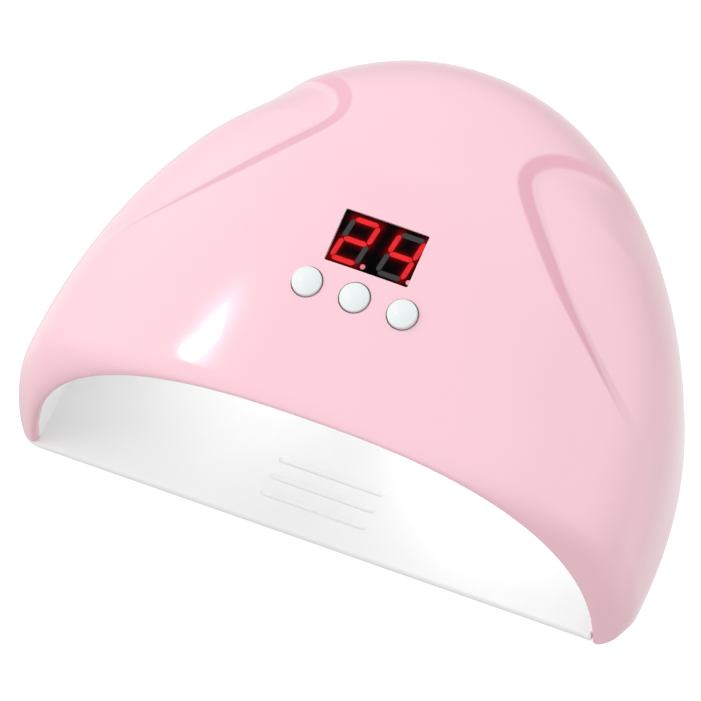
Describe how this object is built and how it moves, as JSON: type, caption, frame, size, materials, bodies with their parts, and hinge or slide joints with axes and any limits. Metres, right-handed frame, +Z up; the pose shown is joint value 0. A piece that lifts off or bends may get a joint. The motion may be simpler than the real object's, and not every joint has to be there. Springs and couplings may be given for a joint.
{
  "type": "uv led nail lamp",
  "caption": "Table-top nail curing lamp: domed glossy shell over a white arched hand cavity, flat base plate, two-digit display and push buttons on the sloping top.",
  "frame": {"origin": "on the table under the middle of the lamp's overall box", "axes": "+Z up, the hand opening faces -Y, +X to the right seen from the opening"},
  "size_m": [0.1898, 0.1316, 0.0836],
  "materials": {
    "shell_pink": "glossy pale pink ABS",
    "liner_white": "glossy white reflector",
    "base_white": "satin white ABS",
    "label_silver": "blank printed film",
    "screw_steel": "zinc plated",
    "display_black": "black epoxy face",
    "segment_red": "lit red epoxy",
    "segment_dark": "unlit grey epoxy",
    "point_red": "lit decimal point",
    "pin_metal": "tinned",
    "board_green": "solder mask",
    "sensor_board_green": "solder mask",
    "chip_black": "moulded epoxy",
    "resistor_black": "ceramic chip",
    "capacitor_can": "sleeved can",
    "inductor_grey": "ferrite",
    "connector_white": "nylon",
    "led_strip_aluminium": "white masked aluminium board",
    "led_ceramic": "ceramic",
    "led_lens_clear": "clear silicone",
    "emitter_clear": "water clear epoxy",
    "receiver_black": "dark epoxy",
    "jack_black": "moulded nylon",
    "jack_metal": "nickel plated",
    "lead_red": "PVC insulation",
    "lead_black": "PVC insulation",
    "lead_white": "PVC insulation",
    "foot_rubber": "soft pad",
    "button_white": "glossy white ABS",
    "plunger_black": "nylon",
    "switch_black": "moulded nylon"
  },
  "bodies": {
    "casing": {"outer_shell": "shell_pink", "inner_liner": "liner_white", "base_plate": "base_white", "rating_label": "label_silver", "case_screws": "screw_steel", "liner_screws": "screw_steel", "board_screws": "screw_steel", "display_housing": "display_black", "display_lit_segments": "segment_red", "display_dark_segments": "segment_dark", "display_points": "point_red", "display_pins": "pin_metal", "control_board": "board_green", "sensor_board": "sensor_board_green", "controller_chip": "chip_black", "led_driver_chip": "chip_black", "signal_resistors": "resistor_black", "filter_capacitor": "capacitor_can", "power_inductor": "inductor_grey", "power_connector": "connector_white", "led_connector_left": "connector_white", "led_connector_right": "connector_white", "led_board_back": "led_strip_aluminium", "led_strip_front": "led_strip_aluminium", "led_strip_middle": "led_strip_aluminium", "led_strip_rear": "led_strip_aluminium", "led_packages_front": "led_ceramic", "led_packages_middle": "led_ceramic", "led_packages_rear": "led_ceramic", "led_packages_back": "led_ceramic", "led_lenses_front": "led_lens_clear", "led_lenses_middle": "led_lens_clear", "led_lenses_rear": "led_lens_clear", "led_lenses_back": "led_lens_clear", "sensor_emitter": "emitter_clear", "sensor_receiver": "receiver_black", "dc_jack_housing": "jack_black", "dc_jack_pin": "jack_metal", "dc_jack_contact": "jack_metal", "jack_nut": "jack_metal", "power_lead_positive": "lead_red", "power_lead_negative": "lead_black", "led_lead_left": "lead_white", "led_lead_right": "lead_white", "foot_front_left": "foot_rubber", "foot_front_right": "foot_rubber", "foot_rear_left": "foot_rubber", "foot_rear_right": "foot_rubber", "switch_body_left": "switch_black", "switch_body_middle": "switch_black", "switch_body_right": "switch_black"},
    "button_left": {"button_cap_left": "button_white", "switch_plunger_left": "plunger_black"},
    "button_middle": {"button_cap_middle": "button_white", "switch_plunger_middle": "plunger_black"},
    "button_right": {"button_cap_right": "button_white", "switch_plunger_right": "plunger_black"}
  },
  "joints": [
    {"name": "press_left", "type": "slide", "parent": "casing", "child": "button_left", "axis": [0, 0.2914, -0.9566], "range_m": [0, 0.0007], "stiffness_N_per_m": 1500},
    {"name": "press_middle", "type": "slide", "parent": "casing", "child": "button_middle", "axis": [0, 0.2914, -0.9566], "range_m": [0, 0.0007], "stiffness_N_per_m": 1500},
    {"name": "press_right", "type": "slide", "parent": "casing", "child": "button_right", "axis": [0, 0.2914, -0.9566], "range_m": [0, 0.0007], "stiffness_N_per_m": 1500}
  ]
}
